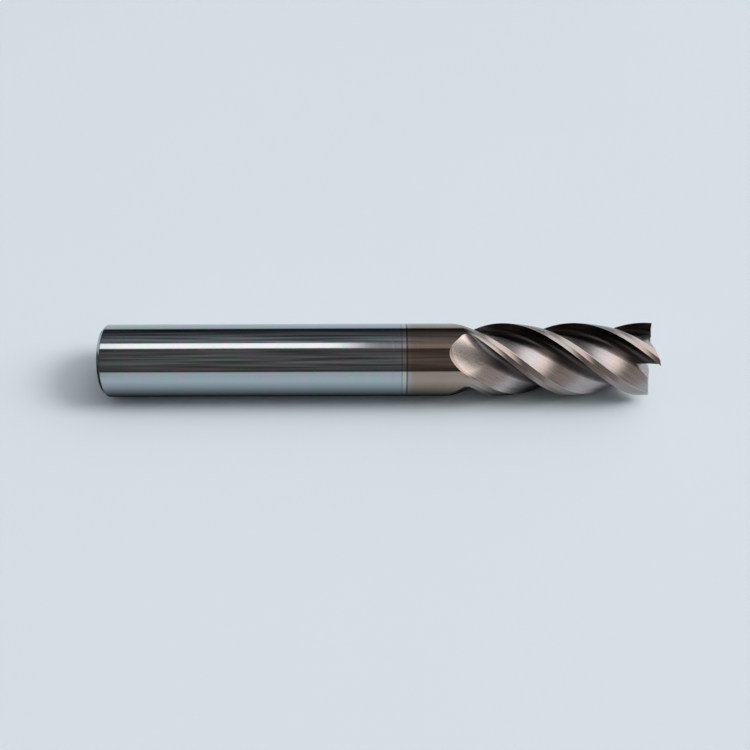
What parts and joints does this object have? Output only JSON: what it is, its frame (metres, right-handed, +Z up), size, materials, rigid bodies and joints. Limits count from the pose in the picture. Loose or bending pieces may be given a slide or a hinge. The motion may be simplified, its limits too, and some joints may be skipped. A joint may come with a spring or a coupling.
{
  "type": "end mill",
  "caption": "Solid carbide square end mill with a bare ground shank, a coated front and right-hand helical flutes.",
  "frame": {"origin": "centre of the shank's flat back face", "axes": "+X along the tool's axis from the back face to the end teeth, +Z up with the tool lying on its side, +Y away from the front"},
  "size_m": [0.075, 0.01, 0.01],
  "materials": {
    "ground_carbide": "mirror-ground bare tungsten carbide, very fine grinding marks round the axis",
    "coating_edge": "polished, coating fading out with a fine dark line and faint interference tints",
    "coated_carbide": "polished under a thin bronze-brown hard coating",
    "coated_flute": "satin, ground along the helix under a thin bronze-brown hard coating",
    "coated_tooth": "satin ground lands and rake faces under a thin bronze-brown hard coating, fine bright edges"
  },
  "bodies": {
    "root": {"shank": "ground_carbide", "coating_edge": "coating_edge", "neck": "coated_carbide", "flute_runout": "coated_carbide", "core": "coated_flute", "tooth_1": "coated_tooth", "tooth_2": "coated_tooth", "tooth_3": "coated_tooth", "tooth_4": "coated_tooth"}
  },
  "joints": []
}
